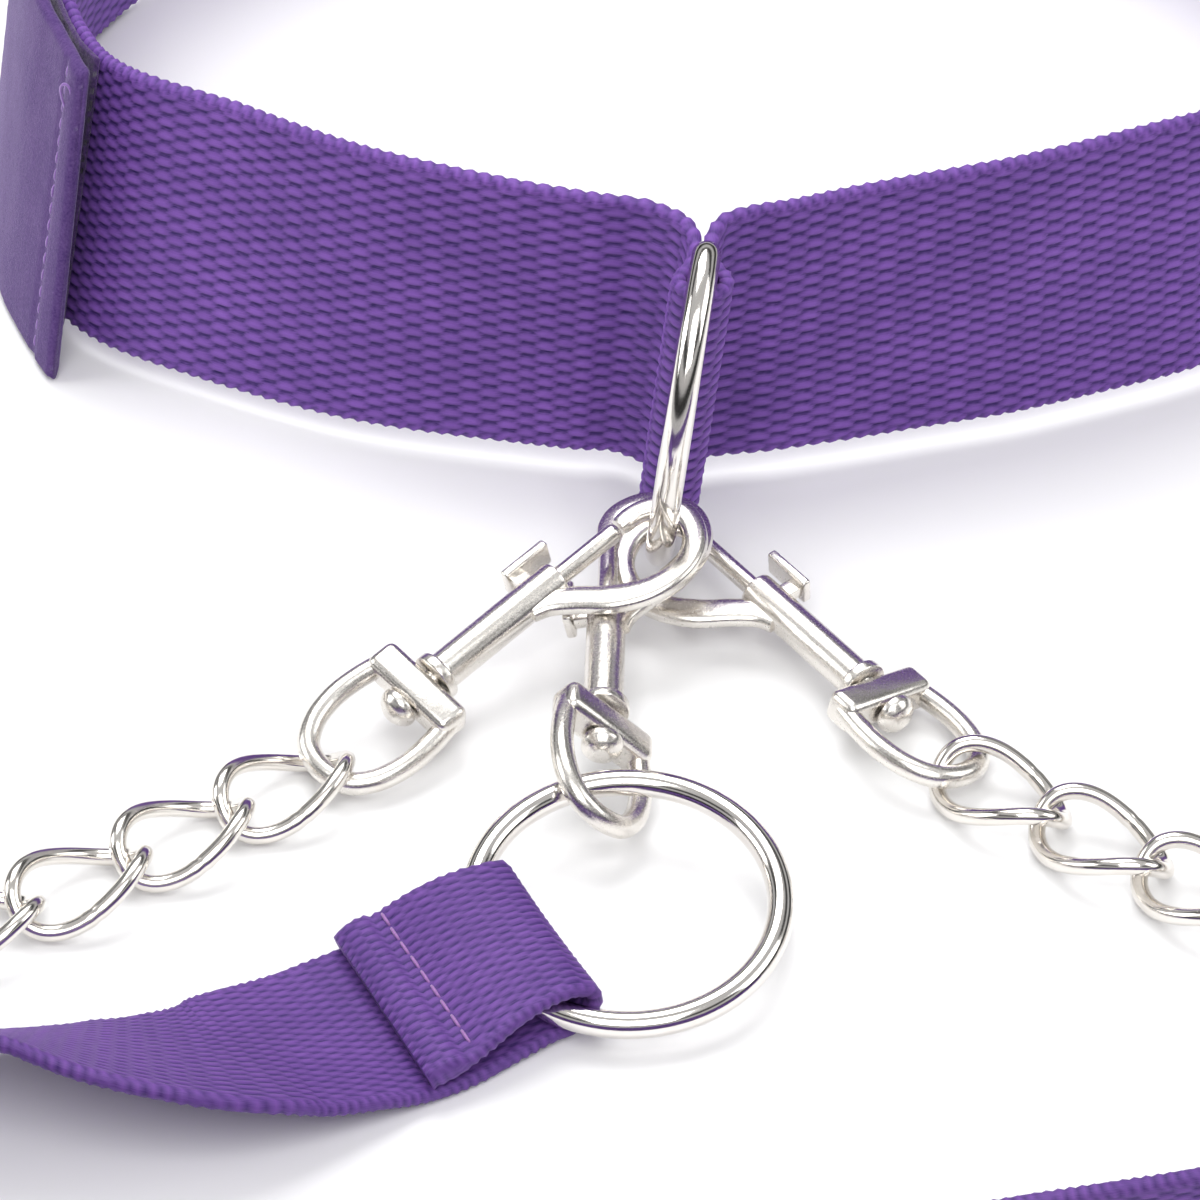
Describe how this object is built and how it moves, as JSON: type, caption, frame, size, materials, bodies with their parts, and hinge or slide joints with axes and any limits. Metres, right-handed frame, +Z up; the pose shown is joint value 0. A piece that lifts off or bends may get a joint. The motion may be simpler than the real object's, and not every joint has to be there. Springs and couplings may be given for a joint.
{
  "type": "training collar with leads",
  "caption": "Wide webbing neck collar with a hook-and-loop closure, a front D-ring holding swivel bolt snaps, curb-chain leads and a webbing lead on an O-ring.",
  "frame": {"origin": "middle of the collar and its chain leads on the plane they lie on", "axes": "+Z up from the surface the collar stands on, +Y from the D-ring towards the back of the neck loop, +X to the right seen from the D-ring side"},
  "size_m": [0.3825, 0.3082, 0.0451],
  "materials": {
    "webbing": "woven polypropylene neck webbing, purple, matte with a soft sheen",
    "lead_webbing": "woven purple lead webbing, matte",
    "brushed_flap": "brushed purple loop fabric on the closure flap",
    "loop_pile": "dark purple loop pile",
    "hook_pile": "dark purple moulded hooks",
    "cast_nickel": "nickel plated die cast, bright, slightly warm",
    "ring_nickel": "nickel plated welded wire",
    "chain_nickel": "nickel plated twisted wire links",
    "spring_wire": "spring steel wire"
  },
  "bodies": {
    "collar": {"collar_band": "webbing", "loop_strip": "loop_pile", "closure_flap_anchor": "brushed_flap"},
    "closure_flap": {"closure_flap": "brushed_flap", "hook_strip": "hook_pile"},
    "d_ring": {"d_ring": "ring_nickel"},
    "snap_left_body": {"snap_left_hook_body": "cast_nickel", "snap_left_spring": "spring_wire"},
    "snap_left_bolt": {"snap_left_bolt": "cast_nickel"},
    "snap_left_eye": {"snap_left_swivel_eye": "cast_nickel"},
    "snap_right_body": {"snap_right_hook_body": "cast_nickel", "snap_right_spring": "spring_wire"},
    "snap_right_bolt": {"snap_right_bolt": "cast_nickel"},
    "snap_right_eye": {"snap_right_swivel_eye": "cast_nickel"},
    "snap_centre_body": {"snap_centre_hook_body": "cast_nickel", "snap_centre_spring": "spring_wire"},
    "snap_centre_bolt": {"snap_centre_bolt": "cast_nickel"},
    "snap_centre_eye": {"snap_centre_swivel_eye": "cast_nickel"},
    "chain_left_link_1": {"chain_left_link_1": "chain_nickel"},
    "chain_left_link_2": {"chain_left_link_2": "chain_nickel"},
    "chain_left_link_3": {"chain_left_link_3": "chain_nickel"},
    "chain_left_link_4": {"chain_left_link_4": "chain_nickel"},
    "chain_left_link_5": {"chain_left_link_5": "chain_nickel"},
    "chain_left_link_6": {"chain_left_link_6": "chain_nickel"},
    "chain_left_link_7": {"chain_left_link_7": "chain_nickel"},
    "chain_right_link_1": {"chain_right_link_1": "chain_nickel"},
    "chain_right_link_2": {"chain_right_link_2": "chain_nickel"},
    "chain_right_link_3": {"chain_right_link_3": "chain_nickel"},
    "chain_right_link_4": {"chain_right_link_4": "chain_nickel"},
    "chain_right_link_5": {"chain_right_link_5": "chain_nickel"},
    "chain_right_link_6": {"chain_right_link_6": "chain_nickel"},
    "chain_right_link_7": {"chain_right_link_7": "chain_nickel"},
    "snap_left_end_body": {"snap_left_end_hook_body": "cast_nickel", "snap_left_end_spring": "spring_wire"},
    "snap_left_end_bolt": {"snap_left_end_bolt": "cast_nickel"},
    "snap_left_end_eye": {"snap_left_end_swivel_eye": "cast_nickel"},
    "snap_right_end_body": {"snap_right_end_hook_body": "cast_nickel", "snap_right_end_spring": "spring_wire"},
    "snap_right_end_bolt": {"snap_right_end_bolt": "cast_nickel"},
    "snap_right_end_eye": {"snap_right_end_swivel_eye": "cast_nickel"},
    "o_ring": {"o_ring": "ring_nickel"},
    "lead": {"lead_strap": "lead_webbing"}
  },
  "joints": [
    {"name": "closure_flap_hinge", "type": "hinge", "parent": "collar", "child": "closure_flap", "pos_m": [-0.08452, 0.06346, -0.00021], "axis": [0, 0, -1], "range_deg": [0, 100]},
    {"name": "d_ring_swing", "type": "hinge", "parent": "collar", "child": "d_ring", "pos_m": [0.00528, -0.03604, 0.02277], "axis": [0.1097, 0, 0.994], "range_deg": [-20, 20]},
    {"name": "snap_left_swing", "type": "hinge", "parent": "d_ring", "child": "snap_left_body", "pos_m": [0.00231, -0.0522, 0.01354], "axis": [0.1782, 0.101, -0.9788], "range_deg": [-3, 20]},
    {"name": "snap_left_swivel", "type": "hinge", "parent": "snap_left_body", "child": "snap_left_eye", "pos_m": [-0.02658, -0.07265, 0.00617], "axis": [0.7159, 0.6692, 0.1994], "range_deg": [-30, 30]},
    {"name": "snap_left_trigger", "type": "slide", "parent": "snap_left_body", "child": "snap_left_bolt", "axis": [-0.7159, -0.6692, -0.1994], "range_m": [0, 0.006], "stiffness_N_per_m": 120, "springref_m": -0.001},
    {"name": "snap_right_swing", "type": "hinge", "parent": "d_ring", "child": "snap_right_body", "pos_m": [0.00212, -0.04725, 0.00638], "axis": [-0.054, -0.1348, 0.9894], "range_deg": [-3, 20]},
    {"name": "snap_right_swivel", "type": "hinge", "parent": "snap_right_body", "child": "snap_right_eye", "pos_m": [0.02767, -0.07188, 0.00442], "axis": [-0.6159, 0.7844, 0.0732], "range_deg": [-30, 30]},
    {"name": "snap_right_trigger", "type": "slide", "parent": "snap_right_body", "child": "snap_right_bolt", "axis": [0.6159, -0.7844, -0.0732], "range_m": [0, 0.006], "stiffness_N_per_m": 120, "springref_m": -0.001},
    {"name": "snap_centre_swing", "type": "hinge", "parent": "d_ring", "child": "snap_centre_body", "pos_m": [0.00213, -0.04981, 0.00929], "axis": [0.2184, 0.0019, -0.9759], "range_deg": [-4, 4]},
    {"name": "snap_centre_swivel", "type": "hinge", "parent": "snap_centre_body", "child": "snap_centre_eye", "pos_m": [-0.00481, -0.08048, 0.00768], "axis": [0.0227, 0.9997, 0.007], "range_deg": [-20, 20]},
    {"name": "snap_centre_trigger", "type": "slide", "parent": "snap_centre_body", "child": "snap_centre_bolt", "axis": [-0.0227, -0.9997, -0.007], "range_m": [0, 0.006], "stiffness_N_per_m": 120, "springref_m": -0.001},
    {"name": "chain_left_joint_1", "type": "hinge", "parent": "snap_left_eye", "child": "chain_left_link_1", "pos_m": [-0.03602, -0.08175, 0.00318], "axis": [0, 0, 1], "range_deg": [-8, 8]},
    {"name": "chain_left_joint_2", "type": "hinge", "parent": "chain_left_link_1", "child": "chain_left_link_2", "pos_m": [-0.0471, -0.0898, 0.00338], "axis": [0, 0, 1], "range_deg": [-8, 8]},
    {"name": "chain_left_joint_3", "type": "hinge", "parent": "chain_left_link_2", "child": "chain_left_link_3", "pos_m": [-0.05819, -0.09786, 0.00349], "axis": [0, 0, 1], "range_deg": [-8, 8]},
    {"name": "chain_left_joint_4", "type": "hinge", "parent": "chain_left_link_3", "child": "chain_left_link_4", "pos_m": [-0.06941, -0.10571, 0.00349], "axis": [0, 0, 1], "range_deg": [-8, 8]},
    {"name": "chain_left_joint_5", "type": "hinge", "parent": "chain_left_link_4", "child": "chain_left_link_5", "pos_m": [-0.08202, -0.11107, 0.00349], "axis": [0, 0, 1], "range_deg": [-8, 8]},
    {"name": "chain_left_joint_6", "type": "hinge", "parent": "chain_left_link_5", "child": "chain_left_link_6", "pos_m": [-0.09559, -0.11297, 0.00349], "axis": [0, 0, 1], "range_deg": [-8, 8]},
    {"name": "chain_left_joint_7", "type": "hinge", "parent": "chain_left_link_6", "child": "chain_left_link_7", "pos_m": [-0.10918, -0.11131, 0.00384], "axis": [0, 0, 1], "range_deg": [-8, 8]},
    {"name": "chain_right_joint_1", "type": "hinge", "parent": "snap_right_eye", "child": "chain_right_link_1", "pos_m": [0.03563, -0.08268, 0.00332], "axis": [0, 0, -1], "range_deg": [-4, 8]},
    {"name": "chain_right_joint_2", "type": "hinge", "parent": "chain_right_link_1", "child": "chain_right_link_2", "pos_m": [0.04657, -0.09093, 0.00343], "axis": [0, 0, -1], "range_deg": [-8, 8]},
    {"name": "chain_right_joint_3", "type": "hinge", "parent": "chain_right_link_2", "child": "chain_right_link_3", "pos_m": [0.05751, -0.09917, 0.00349], "axis": [0, 0, -1], "range_deg": [-8, 8]},
    {"name": "chain_right_joint_4", "type": "hinge", "parent": "chain_right_link_3", "child": "chain_right_link_4", "pos_m": [0.06873, -0.10703, 0.00349], "axis": [0, 0, -1], "range_deg": [-8, 8]},
    {"name": "chain_right_joint_5", "type": "hinge", "parent": "chain_right_link_4", "child": "chain_right_link_5", "pos_m": [0.08125, -0.1126, 0.00349], "axis": [0, 0, -1], "range_deg": [-8, 8]},
    {"name": "chain_right_joint_6", "type": "hinge", "parent": "chain_right_link_5", "child": "chain_right_link_6", "pos_m": [0.09474, -0.11498, 0.00349], "axis": [0, 0, -1], "range_deg": [-8, 8]},
    {"name": "chain_right_joint_7", "type": "hinge", "parent": "chain_right_link_6", "child": "chain_right_link_7", "pos_m": [0.10843, -0.1145, 0.00384], "axis": [0, 0, -1], "range_deg": [-8, 8]},
    {"name": "snap_left_end_swing", "type": "hinge", "parent": "chain_left_link_7", "child": "snap_left_end_eye", "pos_m": [-0.12219, -0.10708, 0.00464], "axis": [0, 0, 1], "range_deg": [-20, 20]},
    {"name": "snap_left_end_swivel", "type": "hinge", "parent": "snap_left_end_eye", "child": "snap_left_end_body", "pos_m": [-0.13478, -0.1025, 0.00464], "axis": [-0.9397, 0.342, 0], "range_deg": [-45, 45]},
    {"name": "snap_left_end_trigger", "type": "slide", "parent": "snap_left_end_body", "child": "snap_left_end_bolt", "axis": [0.9397, -0.342, 0], "range_m": [0, 0.006], "stiffness_N_per_m": 120, "springref_m": -0.001},
    {"name": "snap_right_end_swing", "type": "hinge", "parent": "chain_right_link_7", "child": "snap_right_end_eye", "pos_m": [0.1219, -0.11213, 0.00464], "axis": [0, 0, 1], "range_deg": [-20, 20]},
    {"name": "snap_right_end_swivel", "type": "hinge", "parent": "snap_right_end_eye", "child": "snap_right_end_body", "pos_m": [0.13517, -0.11026, 0.00464], "axis": [0.9903, 0.1392, 0], "range_deg": [-45, 45]},
    {"name": "snap_right_end_trigger", "type": "slide", "parent": "snap_right_end_body", "child": "snap_right_end_bolt", "axis": [-0.9903, -0.1392, 0], "range_m": [0, 0.006], "stiffness_N_per_m": 120, "springref_m": -0.001},
    {"name": "o_ring_swing", "type": "hinge", "parent": "snap_centre_eye", "child": "o_ring", "pos_m": [-0.00209, -0.09034, 0.00818], "axis": [-1, 0, 0], "range_deg": [-2, 19]},
    {"name": "lead_swing", "type": "hinge", "parent": "o_ring", "child": "lead", "pos_m": [-0.01336, -0.11407, 0.00519], "axis": [0.515, -0.8498, -0.1119], "range_deg": [-1.5, 1.5]}
  ]
}
